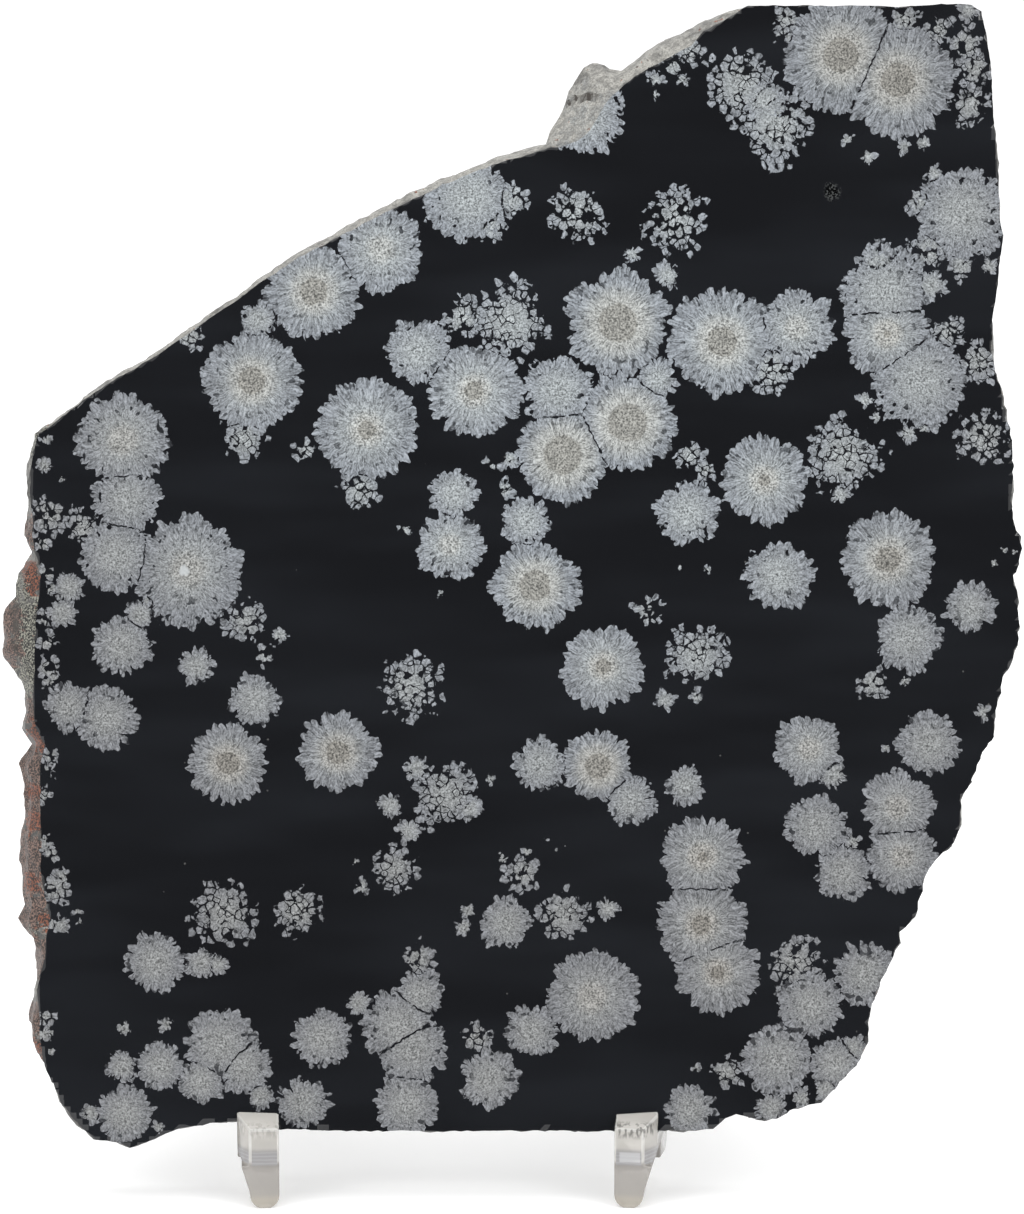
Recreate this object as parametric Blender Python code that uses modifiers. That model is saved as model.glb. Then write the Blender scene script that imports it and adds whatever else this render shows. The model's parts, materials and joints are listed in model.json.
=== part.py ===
"""A polished slab of snowflake obsidian standing on a small clear moulded display stand.

The slab leans back on two toed-in arms that a crossbar joins behind it. Its shape is given in its
own plane: X to the right, V up along the polished face, W into the stone, measured from the middle
of the face. Those three then lean back together, and the feet stand on Z = 0.
"""
import math

import bmesh
import bpy
from mathutils import Matrix, Vector, noise

MM = 0.001
GAP = 0.3 * MM

# The slab's size and how it stands; the stand is a little turned under it, so its toe-ins differ
SLAB_THICKNESS = 10.0 * MM
LEAN = math.radians(10.0)
LEDGE_HEIGHT = 11.0 * MM
SLAB_BOTTOM = -78.6 * MM
SIDE_CENTRE = -0.2 * MM
DEPTH_CENTRE = 27.5 * MM

# The stand's arms: one side profile, turned so that the two draw together in front
ARM_WIDTH = 6.2 * MM
BAR = 4.4 * MM
LIP_HEIGHT = 3.1 * MM
LIP_DEPTH = 3.3 * MM
LIP_FRONT_HEIGHT = 0.6 * MM
LEG_TOP = 6.1 * MM
LEG_ROOT = 2.0 * MM
BACKREST_HEIGHT = 72.0 * MM
STRUT_HEIGHT = 58.0 * MM
STRUT_ROOT = 13.0 * MM
REAR_FOOT = 62.0 * MM
TOE_IN = {"left": math.radians(4.0), "right": math.radians(8.0)}
FOOT_X = {"left": -38.1 * MM, "right": 18.8 * MM}
NOSE_WIDTH = 4.3 * MM
NOSE_FOOT = 6.6 * MM
SEAT_ALLOWANCE = 0.6 * MM
LIP_CORNER = 0.9
LIP_CORNER_RISE = 0.35
EDGE_ROUND = 0.35 * MM
CORNER_STEPS = 5
CUT_MARGIN = 8.0 * MM

# The front leg's outline from the front, in millimetres: (distance from the inner side, height,
# corner radius)
TONGUE = [
    (0.0, 12.0, 0.0), (0.0, -0.12, 2.05), (4.1, -0.12, 2.05), (4.5, 2.6, 0.0), (6.4, 9.0, 0.0),
    (6.4, 12.0, 0.0),
]

# The bar that joins the arms
CROSSBAR_HEIGHT = 12.0 * MM
CROSSBAR_LIFT = 38.0 * MM

# Edge of the polished face, clockwise from the top, in millimetres: (x, v, rim x, rim v).
# The last two say how much further the rough rim reaches beside that point.
EDGE = [
    (35.3, 90.2, 0.0, 0.0), (43.4, 90.2, 0.0, 0.0), (54.9, 90.2, 0.0, 0.0),
    (58.4, 90.0, 0.0, 0.0), (66.9, 90.6, 0.0, 0.0), (68.9, 90.3, 0.0, 0.0),
    (70.4, 89.3, 0.0, 0.0), (71.1, 86.1, 0.0, 0.0), (71.9, 80.6, 0.0, 0.0),
    (72.3, 72.0, 0.0, 0.0), (72.9, 64.5, 0.0, 0.0), (73.2, 58.5, 0.0, 0.0),
    (73.7, 55.8, 0.0, 0.0), (72.9, 48.9, 0.0, 0.0), (72.0, 42.5, 0.0, 0.0),
    (72.0, 38.6, 0.0, 0.0), (72.5, 35.1, 0.0, 0.0), (73.7, 30.3, 0.0, 0.0),
    (75.0, 24.9, 0.0, 0.0), (75.2, 21.0, 0.0, 0.0), (74.9, 17.1, 0.0, 0.0),
    (75.3, 13.2, 0.0, 0.0), (76.2, 10.4, 0.0, 0.0), (76.5, 8.7, 0.0, 0.0),
    (76.1, 6.5, 0.0, 0.0), (75.2, 4.8, 0.0, 0.0), (75.8, 1.5, 0.0, 0.0),
    (76.1, -2.7, 0.0, 0.0), (75.8, -5.7, 0.0, 0.0), (75.0, -8.0, 0.0, 0.0),
    (73.7, -10.5, 0.0, 0.0), (72.5, -15.5, 0.0, 0.0), (72.2, -19.4, 0.0, 0.0),
    (70.2, -22.4, 0.0, 0.0), (68.9, -26.0, 0.0, 0.0), (67.4, -29.0, 0.0, 0.0),
    (67.2, -32.6, 0.0, 0.0), (66.0, -35.9, 0.0, 0.0), (63.6, -37.7, 0.0, 0.0),
    (62.0, -40.2, 0.0, 0.0), (61.2, -43.7, 0.0, 0.0), (60.5, -46.5, 0.0, 0.0),
    (58.1, -48.6, 0.0, 0.0), (58.2, -50.3, 0.0, 0.0), (56.1, -54.5, 0.0, 0.0),
    (54.0, -59.6, 0.0, 0.0), (53.4, -62.3, 0.0, 0.0), (53.4, -65.1, 0.0, 0.0),
    (52.2, -67.8, 0.0, 0.0), (50.3, -70.2, 0.0, 0.0), (48.8, -71.7, 0.0, 0.0),
    (46.4, -74.4, 0.0, 0.0), (44.4, -74.7, 0.0, 0.0), (41.6, -75.5, 0.0, 0.0),
    (39.5, -76.8, 0.0, 0.0), (37.8, -77.1, 0.0, 0.0), (35.7, -76.5, 0.0, 0.0),
    (33.6, -76.1, 0.0, 0.0), (32.0, -76.7, 0.0, 0.0), (30.2, -78.4, 0.0, 0.0),
    (22.7, -78.5, 0.0, 0.0), (15.3, -78.6, 0.0, 0.0), (9.9, -78.6, 0.0, 0.0),
    (5.0, -78.5, 0.0, 0.0), (-6.0, -78.6, 0.0, 0.0), (-20.0, -78.6, 0.0, 0.0),
    (-27.9, -78.5, 0.0, 0.0), (-34.8, -78.3, 0.0, 0.0), (-41.6, -77.1, 0.0, 0.0),
    (-45.3, -77.4, 0.0, 0.0), (-49.8, -78.2, 0.0, 0.0), (-52.1, -79.1, 0.0, 0.0),
    (-55.1, -80.4, 0.0, 0.0), (-57.2, -81.0, 0.0, 0.0), (-59.4, -80.3, 0.0, 0.0),
    (-62.3, -79.8, 0.0, 0.0), (-65.1, -77.6, 0.0, 0.0), (-67.4, -74.7, 0.0, 0.0),
    (-68.9, -71.4, 0.0, 0.0), (-70.2, -68.9, 0.0, 0.0), (-70.8, -65.0, -1.5, 0.0),
    (-70.8, -61.2, -1.9, 0.0), (-71.3, -57.5, -0.9, 0.0), (-70.8, -55.1, -0.6, 0.0),
    (-70.1, -53.0, -1.7, 0.0), (-69.8, -49.2, -2.3, 0.0), (-69.3, -46.7, -5.0, 0.0),
    (-69.9, -44.0, -3.8, 0.0), (-70.8, -39.5, -3.2, 0.0), (-70.5, -35.1, -3.8, 0.0),
    (-70.8, -31.2, -2.9, 0.0), (-70.8, -27.5, -2.6, 0.0), (-70.8, -23.7, -3.5, 0.0),
    (-70.1, -20.7, -2.6, 0.0), (-71.4, -18.2, -2.3, 0.0), (-71.9, -14.7, -1.4, 0.0),
    (-71.7, -11.7, -1.7, 0.0), (-71.6, -9.2, -3.5, 0.0), (-71.6, -6.2, -5.3, 0.0),
    (-71.4, -2.3, -5.6, 0.0), (-71.1, 0.6, -4.5, 0.0), (-70.8, 4.7, -3.6, 0.0),
    (-71.1, 6.8, -2.4, 0.0), (-71.6, 8.4, -1.1, 0.0), (-71.9, 10.8, -1.7, 0.0),
    (-72.0, 13.4, -1.2, 0.0), (-72.2, 16.1, -0.6, 0.0), (-72.3, 19.8, -0.8, 0.1),
    (-71.9, 23.1, -0.6, 0.2), (-71.1, 25.7, -0.6, 0.3), (-68.3, 27.9, -0.5, 0.6),
    (-64.2, 31.1, -0.5, 0.8), (-59.9, 33.9, -0.5, 0.8), (-53.3, 37.7, -0.5, 0.8),
    (-46.1, 42.8, -0.5, 1.0), (-41.1, 46.1, -0.5, 1.0), (-36.9, 49.2, -0.5, 1.0),
    (-31.8, 52.5, -0.5, 1.0), (-27.3, 54.9, -0.5, 1.0), (-19.4, 59.0, -0.5, 1.2),
    (-15.0, 61.1, -0.4, 1.3), (-10.5, 63.2, -0.4, 1.3), (-4.8, 65.6, -0.3, 1.4),
    (-1.5, 66.8, -0.2, 1.4), (2.0, 67.8, -0.2, 1.3), (5.3, 68.7, -0.2, 1.2),
    (7.5, 69.2, -1.8, 2.5), (9.9, 69.9, -2.7, 4.2), (11.7, 71.4, -3.6, 4.8),
    (12.9, 73.5, -4.2, 4.8), (14.0, 75.5, -3.2, 5.8), (15.2, 76.8, -2.3, 5.4),
    (16.8, 78.3, -2.1, 3.0), (18.3, 79.4, -1.8, 1.9), (20.4, 80.7, -1.2, 2.7),
    (24.0, 82.7, -0.8, 3.1), (27.0, 84.3, -0.9, 3.0), (28.7, 86.3, -0.5, 2.2),
    (32.0, 88.1, -0.3, 1.8),
]
# How the side runs from the polished face to the sawn back: (share of thickness, share of rim)
SIDE_RINGS = [(0.0, 0.0), (0.16, 0.55), (0.5, 1.0), (0.86, 0.85), (1.0, 0.55)]
SIDE_ROUGHNESS = 0.45 * MM
LUMP_SIZE = 4.0 * MM
BACK_CHAMFER = 0.5 * MM


def material(name, colour, roughness, transmission=0.0):
    """A Principled material in one plain finish."""
    finish = bpy.data.materials.new(name)
    finish.use_nodes = True
    shader = finish.node_tree.nodes["Principled BSDF"]
    shader.inputs["Base Color"].default_value = (*colour, 1.0)
    shader.inputs["Roughness"].default_value = roughness
    shader.inputs["Metallic"].default_value = 0.0
    shader.inputs["Transmission Weight"].default_value = transmission
    return finish


def lean(x, v, w):
    """A point given on the slab, leaned back and lifted so that the ledge is at its height."""
    y = w * math.cos(LEAN) + (v - SLAB_BOTTOM) * math.sin(LEAN)
    z = -w * math.sin(LEAN) + (v - SLAB_BOTTOM) * math.cos(LEAN) + LEDGE_HEIGHT
    return Vector((x - SIDE_CENTRE, y - DEPTH_CENTRE, z))


def add_object(name, mesh, finish, collection):
    """Put a finished mesh in the scene as one named piece."""
    piece = bpy.data.objects.new(name, mesh)
    mesh.materials.clear()
    mesh.materials.append(finish)
    collection.objects.link(piece)
    return piece


def make_slab(finish, collection):
    """Loft the slab from the polished face's edge, through the rough side, to the sawn back."""
    count = len(EDGE)
    middle = Vector((0.0, 0.0))
    mesh_data = bmesh.new()
    rings = []
    for depth_share, rim_share in SIDE_RINGS:
        ring = []
        for x, v, rim_x, rim_v in EDGE:
            flat = Vector((x, v)) * MM
            outward = (flat - middle).normalized()
            place = flat + Vector((rim_x, rim_v)) * MM * rim_share
            if depth_share > 0.0:
                bump = noise.noise(Vector((flat.x, flat.y, depth_share * SLAB_THICKNESS)) / LUMP_SIZE)
                place += outward * bump * SIDE_ROUGHNESS
            if depth_share == 1.0:
                place -= outward * BACK_CHAMFER
            if flat.x > FOOT_X["left"] - ARM_WIDTH:
                place.y = max(place.y, SLAB_BOTTOM)
            depth = depth_share * SLAB_THICKNESS
            ring.append(mesh_data.verts.new(lean(place.x, place.y, depth)))
        rings.append(ring)
    for near, far in zip(rings, rings[1:]):
        for index in range(count):
            after = (index + 1) % count
            mesh_data.faces.new((near[index], near[after], far[after], far[index]))
    mesh_data.faces.new(rings[0])
    mesh_data.faces.new(rings[-1])
    bmesh.ops.recalc_face_normals(mesh_data, faces=mesh_data.faces)
    mesh = bpy.data.meshes.new("slab")
    mesh_data.to_mesh(mesh)
    mesh_data.free()
    add_object("slab", mesh, finish, collection)


def rounded(corners):
    """A closed outline's points, each corner (across, up, radius) turned into an arc."""
    points = []
    for index, (across, up, radius) in enumerate(corners):
        corner = Vector((across, up, 0.0))
        if radius == 0.0:
            points.append((across, up))
            continue
        before = (Vector((*corners[index - 1][:2], 0.0)) - corner).normalized()
        after = (Vector((*corners[(index + 1) % len(corners)][:2], 0.0)) - corner).normalized()
        half = math.acos(before.dot(after)) / 2
        centre = corner + (before + after).normalized() * radius / math.sin(half)
        first = corner + before * radius / math.tan(half) - centre
        sweep = math.pi - 2 * half
        turn = math.copysign(sweep, before.cross(after).z)
        for step in range(CORNER_STEPS + 1):
            share = step / CORNER_STEPS
            place = centre + Matrix.Rotation(-turn * share, 3, "Z") @ first
            points.append((place.x, place.y))
    return points


def arm_profile():
    """The arm seen from its side, as (distance back, height), front foot first."""

    def beside_slab(w, up, radius):
        point = lean(0.0, SLAB_BOTTOM + up, w)
        return point.y, point.z, radius * MM

    face = SEAT_ALLOWANCE
    ledge = SEAT_ALLOWANCE
    back = SLAB_THICKNESS - SEAT_ALLOWANCE
    behind = SLAB_THICKNESS + GAP + BAR
    lip_slope = (LIP_HEIGHT - LIP_FRONT_HEIGHT) / LIP_DEPTH
    lip_front_y, lip_front_z, _ = beside_slab(-GAP - LIP_DEPTH, LIP_FRONT_HEIGHT, 0.0)
    leg_back = lip_front_y + BAR
    rear_y = lip_front_y + REAR_FOOT
    heel_y, heel_z, _ = beside_slab(behind, -BAR, 0.0)
    return rounded([
        (lip_front_y, 0.0, 0.0), (lip_front_y, lip_front_z, 0.0),
        beside_slab(face, LIP_HEIGHT + lip_slope * face, 0.0), beside_slab(face, ledge, 0.0),
        beside_slab(back, ledge, 0.0), beside_slab(back, BACKREST_HEIGHT, 0.0),
        beside_slab(behind, BACKREST_HEIGHT, 3.0), beside_slab(behind, STRUT_HEIGHT, 6.0),
        (rear_y, BAR, 3.0 * MM), (rear_y, 0.0, 1.0 * MM), (rear_y - BAR, 0.0, 1.0 * MM),
        beside_slab(behind, STRUT_HEIGHT - STRUT_ROOT, 3.0), (heel_y, heel_z, 3.0 * MM),
        (leg_back, LEG_TOP, LEG_ROOT), (leg_back, 0.0, 0.0),
    ])


def outline_object(name, points, half_thickness):
    """A flat outline filled on both sides, as a mesh with its caps welded."""
    curve = bpy.data.curves.new(name, "CURVE")
    curve.dimensions = "2D"
    curve.fill_mode = "BOTH"
    curve.extrude = half_thickness
    spline = curve.splines.new("POLY")
    spline.points.add(len(points) - 1)
    for point, (across, up) in zip(spline.points, points):
        point.co = (across, up, 0.0, 1.0)
    spline.use_cyclic_u = True
    outline = bpy.data.objects.new(name, curve)
    bpy.context.scene.collection.objects.link(outline)
    bpy.context.view_layer.update()
    graph = bpy.context.evaluated_depsgraph_get()
    mesh = bpy.data.meshes.new_from_object(outline.evaluated_get(graph))
    bpy.data.objects.remove(outline)
    welded = bmesh.new()
    welded.from_mesh(mesh)
    bmesh.ops.remove_doubles(welded, verts=welded.verts, dist=0.00001)
    bmesh.ops.recalc_face_normals(welded, faces=welded.faces)
    welded.to_mesh(mesh)
    welded.free()
    return mesh


def make_cutter(name, size, matrix, collection):
    """A box that only cuts."""
    mesh_data = bmesh.new()
    bmesh.ops.create_cube(mesh_data, size=1.0, matrix=matrix @ Matrix.Diagonal((*size, 1.0)))
    mesh = bpy.data.meshes.new(name)
    mesh_data.to_mesh(mesh)
    mesh_data.free()
    cutter = bpy.data.objects.new(name, mesh)
    cutter.hide_render = True
    cutter.display_type = "WIRE"
    collection.objects.link(cutter)
    return cutter


def foot_matrix(side):
    """An arm's own place: the slab's front bottom edge over its foot, turned by its toe-in."""
    outward = -1.0 if side == "left" else 1.0
    pivot = lean(FOOT_X[side], SLAB_BOTTOM, 0.0)
    pivot.z = 0.0
    return Matrix.Translation(pivot) @ Matrix.Rotation(-outward * TOE_IN[side], 4, "Z")


def profile_matrix(side):
    """Turns the side profile upright, with its distance back along Y, at an arm's own place."""
    upright = Matrix(((0, 0, 1, 0), (1, 0, 0, 0), (0, 1, 0, 0), (0, 0, 0, 1)))
    edge = lean(0.0, SLAB_BOTTOM, 0.0)
    return foot_matrix(side) @ Matrix.Translation((0.0, -edge.y, 0.0)) @ upright


def seat_cutter(side, cutters):
    """The space that the slab fills over one arm, with a gap all round it."""
    size = (ARM_WIDTH + 2 * CUT_MARGIN, 2 * BACKREST_HEIGHT, SLAB_THICKNESS + 2 * GAP)
    centre = lean(FOOT_X[side], SLAB_BOTTOM - GAP + BACKREST_HEIGHT, SLAB_THICKNESS / 2)
    upright = Matrix.Rotation(math.pi / 2 - LEAN, 4, "X")
    return make_cutter("seat_cut_" + side, size, Matrix.Translation(centre) @ upright, cutters)


def nose_cutter(side, cutters):
    """The slanted cut that narrows the lip on its outer side, down to the top of the leg."""
    outward = -1.0 if side == "left" else 1.0
    slant = math.atan2(ARM_WIDTH - NOSE_WIDTH, LIP_DEPTH)
    size = (ARM_WIDTH + CUT_MARGIN, 2 * (LIP_DEPTH + CUT_MARGIN), LEDGE_HEIGHT + CUT_MARGIN)
    corner = Matrix.Translation((outward * ARM_WIDTH / 2, -GAP, NOSE_FOOT + size[2] / 2))
    aside = Matrix.Translation((outward * size[0] / 2, 0.0, 0.0))
    turn = Matrix.Rotation(-outward * slant, 4, "Z")
    return make_cutter("nose_cut_" + side, size, foot_matrix(side) @ corner @ turn @ aside, cutters)


def front_cutter(name, side, outline, cutters):
    """What is cut away in front of the stone beside an outline that is given as TONGUE is."""
    outward = -1.0 if side == "left" else 1.0
    points = [((-ARM_WIDTH / 2 + across * MM) * outward, up * MM) for across, up in outline]
    reach = BAR + 1.5 * LEG_ROOT
    cutter = bpy.data.objects.new(name + side, outline_object(name + side, points, reach))
    upright = Matrix.Rotation(math.pi / 2, 4, "X")
    before_leg = Matrix.Translation((0.0, -LIP_DEPTH, 0.0))
    cutter.matrix_world = foot_matrix(side) @ before_leg @ upright
    cutter.hide_render = True
    cutter.display_type = "WIRE"
    cutters.objects.link(cutter)
    return cutter


def tongue_cutter(side, cutters):
    """Leaves the front leg, which narrows downwards to a rounded tip."""
    left, right = -CUT_MARGIN / MM, (ARM_WIDTH + CUT_MARGIN) / MM
    top, bottom = TONGUE[0][1], -CUT_MARGIN / MM
    outline = [(left, top), *rounded(TONGUE), (right, top), (right, bottom), (left, bottom)]
    return front_cutter("tongue_cut_", side, outline, cutters)


def lip_cutter(side, cutters):
    """Rounds the two top corners of the lip."""
    left, right = -CUT_MARGIN / MM, (ARM_WIDTH + CUT_MARGIN) / MM
    wide = ARM_WIDTH / MM
    top = lean(0.0, SLAB_BOTTOM + LIP_HEIGHT, -GAP).z / MM + LIP_CORNER_RISE
    above, below = top + CUT_MARGIN / MM, top - 2 * LIP_CORNER
    arch = rounded([(0.0, below, 0.0), (0.0, top, LIP_CORNER), (wide, top, LIP_CORNER), (wide, below, 0.0)])
    outline = [(left, below), *arch, (right, below), (right, above), (left, above)]
    return front_cutter("lip_cut_", side, outline, cutters)


def make_arm(side, finish, collection, cutters):
    """One arm: the profile at full width, cut for the slab and shaped at its foot."""
    name = "stand_arm_" + side
    arm = add_object(name, outline_object(name, arm_profile(), ARM_WIDTH / 2), finish, collection)
    arm.matrix_world = profile_matrix(side)
    for make_tool in (seat_cutter, nose_cutter, tongue_cutter, lip_cutter):
        tool = make_tool(side, cutters)
        cut = arm.modifiers.new(tool.name, "BOOLEAN")
        cut.operation = "DIFFERENCE"
        cut.solver = "EXACT"
        cut.object = tool
    whole_faces = arm.modifiers.new("whole_faces", "DECIMATE")
    whole_faces.decimate_type = "DISSOLVE"
    whole_faces.angle_limit = math.radians(1.0)


def make_crossbar(finish, collection):
    """A board between the arms, its ends cut to their slant."""
    behind = SLAB_THICKNESS + GAP
    near = lean(0.0, SLAB_BOTTOM + CROSSBAR_LIFT, behind + 0.5 * BAR)
    edge = lean(0.0, SLAB_BOTTOM, 0.0)

    def inner_face(side, y):
        outward = -1.0 if side == "left" else 1.0
        slant = outward * (y - edge.y) * math.tan(TOE_IN[side])
        half_width = ARM_WIDTH / 2 / math.cos(TOE_IN[side])
        return FOOT_X[side] - SIDE_CENTRE + slant - outward * (half_width + GAP)

    far_y = near.y + BAR
    board = [
        (inner_face("left", near.y), near.y), (inner_face("right", near.y), near.y),
        (inner_face("right", far_y), far_y), (inner_face("left", far_y), far_y),
    ]
    mesh = outline_object("stand_crossbar", board, CROSSBAR_HEIGHT / 2)
    crossbar = add_object("stand_crossbar", mesh, finish, collection)
    crossbar.location.z = near.z
    rounding = crossbar.modifiers.new("rounding", "BEVEL")
    rounding.width = EDGE_ROUND
    rounding.segments = 2
    rounding.limit_method = "ANGLE"


def main():
    for old in list(bpy.data.objects):
        bpy.data.objects.remove(old)
    pieces = bpy.data.collections.new("snowflake_obsidian_on_stand")
    cutters = bpy.data.collections.new("cutters")
    bpy.context.scene.collection.children.link(pieces)
    bpy.context.scene.collection.children.link(cutters)
    stone = material("polished_obsidian", (0.014, 0.015, 0.017), 0.12)
    clear = material("clear_plastic", (0.72, 0.71, 0.69), 0.15, transmission=0.9)
    make_slab(stone, pieces)
    for side in FOOT_X:
        make_arm(side, clear, pieces, cutters)
    make_crossbar(clear, pieces)


main()
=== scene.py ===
"""Snowflake obsidian: a polished slab on a clear moulded stand.

The slab is dressed in its own plane: x to the right, v up along the polished face, w into the
stone, all in millimetres from the middle of the face. lean_back() gives the place in the frame.
"""
import json
import math
import random
from types import SimpleNamespace

import bmesh
import bpy
import numpy as np
from mathutils import Matrix, Vector, noise

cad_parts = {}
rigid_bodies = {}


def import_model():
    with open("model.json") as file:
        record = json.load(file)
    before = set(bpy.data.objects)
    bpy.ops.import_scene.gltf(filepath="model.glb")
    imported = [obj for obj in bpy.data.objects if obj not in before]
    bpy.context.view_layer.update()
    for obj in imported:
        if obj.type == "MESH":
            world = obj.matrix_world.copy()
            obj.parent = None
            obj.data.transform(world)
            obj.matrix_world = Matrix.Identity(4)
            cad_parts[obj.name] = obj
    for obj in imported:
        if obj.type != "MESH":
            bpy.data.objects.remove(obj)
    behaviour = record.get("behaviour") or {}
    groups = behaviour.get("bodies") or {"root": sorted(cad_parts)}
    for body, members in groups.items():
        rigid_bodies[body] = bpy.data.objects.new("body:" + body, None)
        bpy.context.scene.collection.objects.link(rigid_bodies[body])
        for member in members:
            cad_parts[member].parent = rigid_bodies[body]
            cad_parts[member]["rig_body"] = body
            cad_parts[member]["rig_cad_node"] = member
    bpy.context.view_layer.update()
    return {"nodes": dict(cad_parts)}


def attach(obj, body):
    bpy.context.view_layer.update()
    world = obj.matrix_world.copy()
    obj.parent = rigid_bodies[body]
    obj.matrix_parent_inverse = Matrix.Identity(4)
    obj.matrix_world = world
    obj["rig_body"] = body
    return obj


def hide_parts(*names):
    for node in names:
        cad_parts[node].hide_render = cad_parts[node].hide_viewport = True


MM = 0.001

# How the slab stands, as in the frame
LEAN = math.radians(10.0)
SLAB_THICKNESS = 10.0
SLAB_BOTTOM = -78.6
LEDGE_HEIGHT = 11.0
SIDE_CENTRE = -0.2
DEPTH_CENTRE = 27.5

# The photograph's view: square on to the polished face
PHOTO_SIZE = (1024, 1214)
MM_A_PIXEL = 0.15
CAMERA_DISTANCE = 600.0
SENSOR = 36.0

# The slab's skin, in millimetres: its cells, and the lumps and chips of the broken sides, which are
# lumpier at the rind and more chipped along the right edge. A point nearer than ON_FACE or ON_BACK
# to the polished face or the sawn back is on it.
CELL = 0.9
LUMP_SPACING = 3.1
CHIP_SPACING = 1.1
LUMP = 0.4
RIND_LUMP = 0.6
RIND_SIDE = -66.0
CHIP = 0.3
SWELL = 0.05
EDGE_LUMP = 0.12
EDGE_CHIP = 0.2
RIGHT_EDGE_CHIP = 0.42
ON_FACE = 0.02
ON_BACK = 0.05

# Working on a mesh: doubles nearer than this, in metres, are merged, flat faces are joined, an edge
# of the stone or of the stand that is sharper than its angle stays sharp, and faces go in batches
MERGE = 0.00001
FLAT = math.radians(1.0)
STONE_SHARP = math.radians(38.0)
STAND_SHARP = math.radians(35.0)
BATCH = 4000

# How the snowflakes are drawn, in metres: their grains and the lobes round their rims, the length
# and half width of the notches between lobes, the cracks between grains, the seam where two
# snowflakes touch, and the fibres, which are drawn out along the radius
GRAIN = 0.0010
LOOSE_GRAIN = 1.15 * GRAIN
LOBE = 0.00105
EDGE_BLUR = 0.00005
NOTCH_LENGTH = (0.0004, 0.0020)
NOTCH_WIDTH = 0.0001
CRACK_WIDTH = 0.00012
SEAM = (0.00014, 0.00032)
FIBRE = 0.00028
ALONG_FIBRE = 0.28

# A snowflake more ragged than this is a cluster of loose grains
FIRM = 0.3

# Pale motes in the glass are this far apart, in metres
MOTE_SPACING = 0.004

# The colour of the broken sides, and the plastic's clouds and streaks, change this often in a metre
BLOTCHES = 170.0
PATCHES = 900.0
SPECKS = 3800.0
CLOUDS = 220.0
FLOW = (1500.0, 1500.0, 500.0)

# Single places on the face, in millimetres: the centre of a painted pool of light, where the
# snowflakes are painted lightest, a white dot in the middle of one, and a small open pit in the glass
PAINTED_LIGHT_CENTRE = (8.0, 42.0)
WHITE_DOT = (-49.2, 5.4)
OPEN_PIT = (48.0, 62.3)

# Snowflakes inside the stone, which only the back and the sides cut through, in millimetres
HIDDEN_TRIES = 150
HIDDEN_RADII = (1.2, 2.0, 3.5, 5.0, 6.5, 7.5)
HIDDEN_X = (-74.0, 76.0)
HIDDEN_V = (-79.0, 90.0)

# The clear stand, in metres: its lips are in front of the stone and above the legs, and painted lighter
# than the legs as painted light, with frosted streaks low down. A rippled band of painted reflection
# crosses each leg, with a painted highlight patch in the right one. The tips are warmer, and every edge
# is rounded, once the shortest ones are closed; the roundings are painted lighter as painted highlights.
LIP_FOOT = 0.0085
LIP_BACK = -0.0268
STREAKS = (0.0105, 0.0132)
PAINTED_BAND = (0.0066, 0.0095)
RIPPLE = 0.00055
PAINTED_HIGHLIGHT_PATCH = (0.0178, -0.03, 0.0079)
WARM_TIP = 0.0024
EDGE_ROUND = 0.0003
SHORTEST_EDGE = 0.00015
PLASTIC_IOR = 1.49
CLEARNESS = 0.5

# The studio, in metres; its light shows a matte face this much brighter than its own colour
FLOOR_SIZE = 12.0
FLOOR_GLOW = 0.3
FLAG_SIZE = 1.1
STUDIO_LIGHT = 1.5
WORLD_LIGHT = 1.1

# Its soft boxes: (name, place, size, watts), all turned to one point of the object
SOFT_BOXES = [
    ("overhead", (0.0, 0.0, 1.5), 1.6, 12.0), ("left_box", (-0.85, -0.75, 0.75), 0.5, 3.0),
    ("right_box", (0.85, -0.75, 0.75), 0.5, 3.0),
]
LIT_POINT = (0.0, 0.0, 0.08)

# Snowflakes on the polished face, in millimetres: (x, v, radius). A cored one adds its core's radius.
# The cored, cream and plain ones are firm; the ragged and sparse ones are clusters of loose grains.
CORED = [
    (49.4, 82.8, 8.5, 2.7), (57.9, 79.0, 8.5, 2.6), (56.3, 41.0, 6.4, 0.6), (31.5, 39.8, 7.8, 2.3),
    (15.9, 42.6, 8.0, 3.0), (-29.7, 47.3, 7.1, 2.1), (-39.0, 33.9, 7.5, 2.1), (-21.8, 26.6, 7.5, 1.4),
    (-5.7, 32.4, 7.2, 1.4), (17.3, 27.6, 7.2, 3.0), (7.6, 22.8, 7.0, 3.0), (3.4, 3.2, 6.6, 2.4),
    (37.8, 19.0, 6.5, 0.9), (56.4, 7.1, 7.2, 2.0), (-42.6, -23.4, 6.0, 1.8), (-26.1, -21.8, 6.0, 1.8),
    (13.7, -8.9, 6.3, 1.2), (12.9, -23.9, 5.4, 2.0), (28.5, -37.5, 6.4, 0.8), (28.4, -47.6, 6.8, 1.5),
    (30.9, -54.8, 6.3, 1.1),
]
CREAM = [
    (42.6, 41.9, 5.7), (-19.7, 53.7, 6.4), (-58.4, 25.1, 7.1), (-9.3, 9.3, 5.2), (-48.6, 5.6, 8.2),
    (12.0, -58.5, 7.0), (44.6, -21.3, 5.4), (57.8, -30.0, 5.6), (58.5, -37.4, 5.4),
]
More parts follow.
